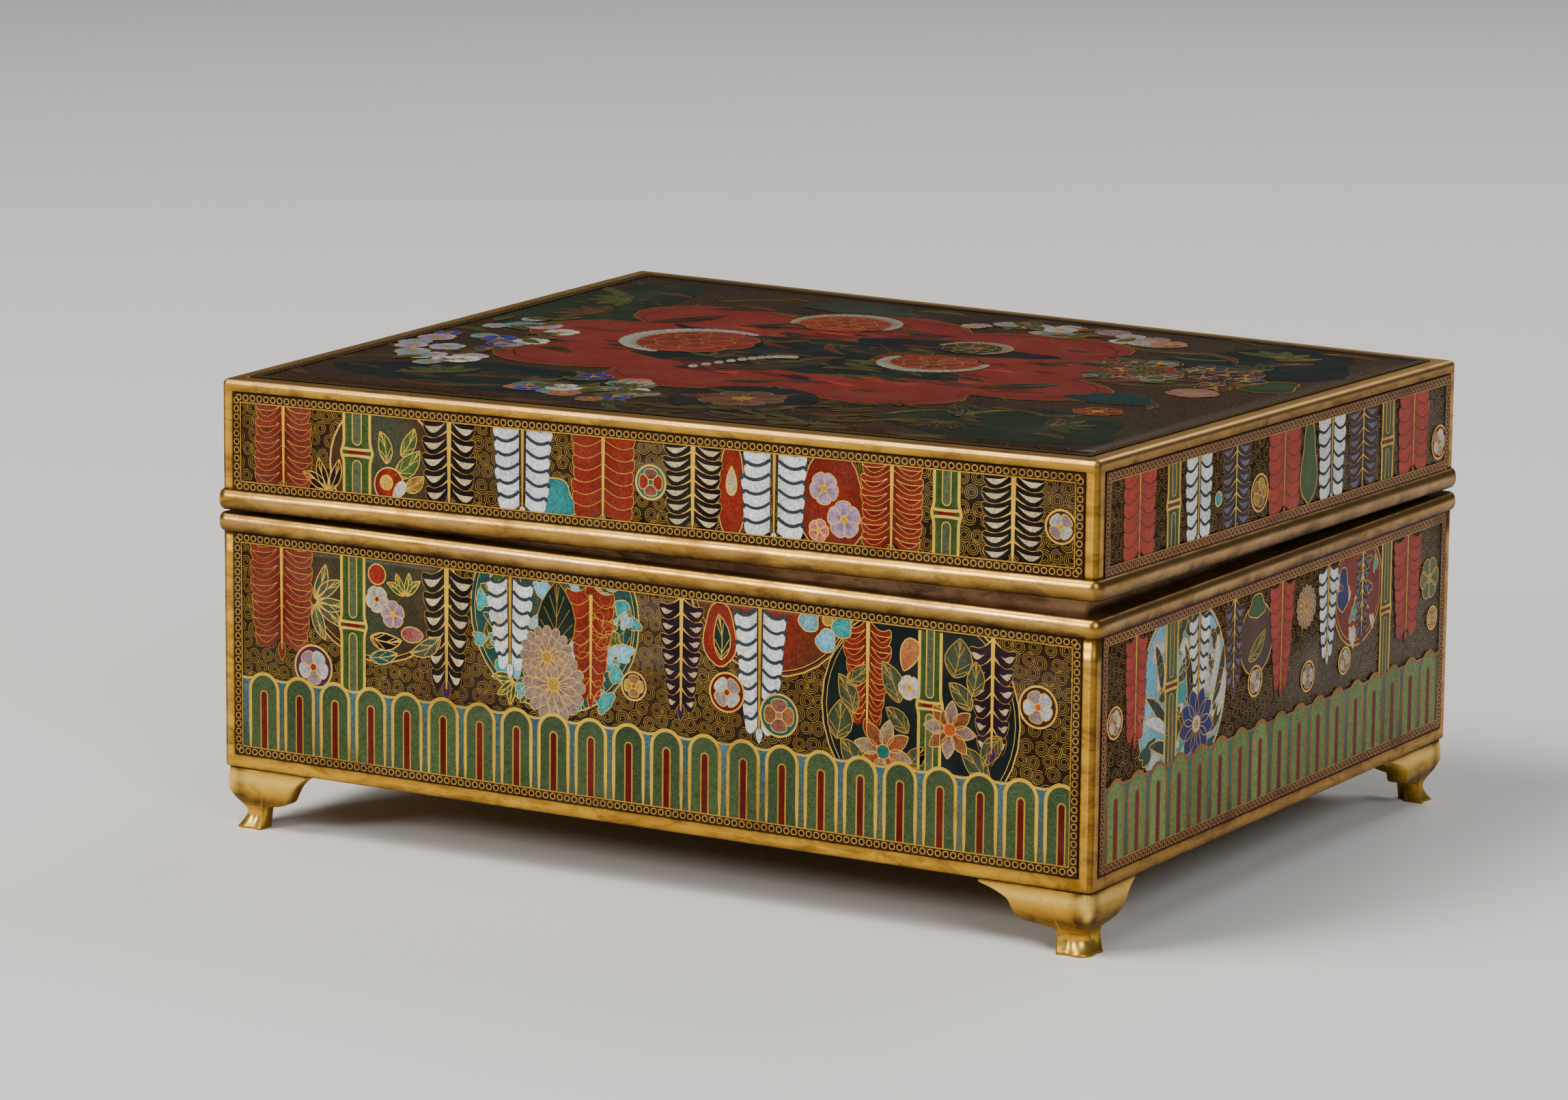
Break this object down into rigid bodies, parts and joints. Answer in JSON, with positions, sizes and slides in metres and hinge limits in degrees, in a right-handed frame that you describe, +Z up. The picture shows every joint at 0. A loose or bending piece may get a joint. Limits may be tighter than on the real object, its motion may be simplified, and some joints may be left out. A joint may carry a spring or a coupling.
{
  "type": "cloisonne enamel box",
  "caption": "Low rectangular footed box of gilt copper with cloisonne enamel panels, bead-moulded rims and a slightly sprung lift-off lid.",
  "frame": {"origin": "on the ground under the middle of the box, midway between the four feet", "axes": "+Z up, X along the long front, the front face towards -Y"},
  "size_m": [0.1274, 0.1024, 0.0605],
  "materials": {
    "gilt_copper": "worn gilt strips with brown tarnish in the corners",
    "gilt_bead": "rubbed gilt wire moulding with copper showing through",
    "gilt_feet": "satin gilt casting, rubbed bright on the swellings",
    "dull_copper": "dull oxidised copper with traces of gilding",
    "enamel": "polished fused enamel with gilt wire cells and fine pits"
  },
  "bodies": {
    "root": {"base_body": "gilt_copper", "base_panel_front": "enamel", "base_panel_right": "enamel", "base_panel_back": "enamel", "base_panel_left": "enamel", "base_bead": "gilt_bead", "collar": "dull_copper", "lid_bead": "gilt_bead", "lid_body": "gilt_copper", "lid_panel_front": "enamel", "lid_panel_right": "enamel", "lid_panel_back": "enamel", "lid_panel_left": "enamel", "lid_panel_top": "enamel", "foot_front_left": "gilt_feet", "foot_front_right": "gilt_feet", "foot_back_left": "gilt_feet", "foot_back_right": "gilt_feet"}
  },
  "joints": []
}
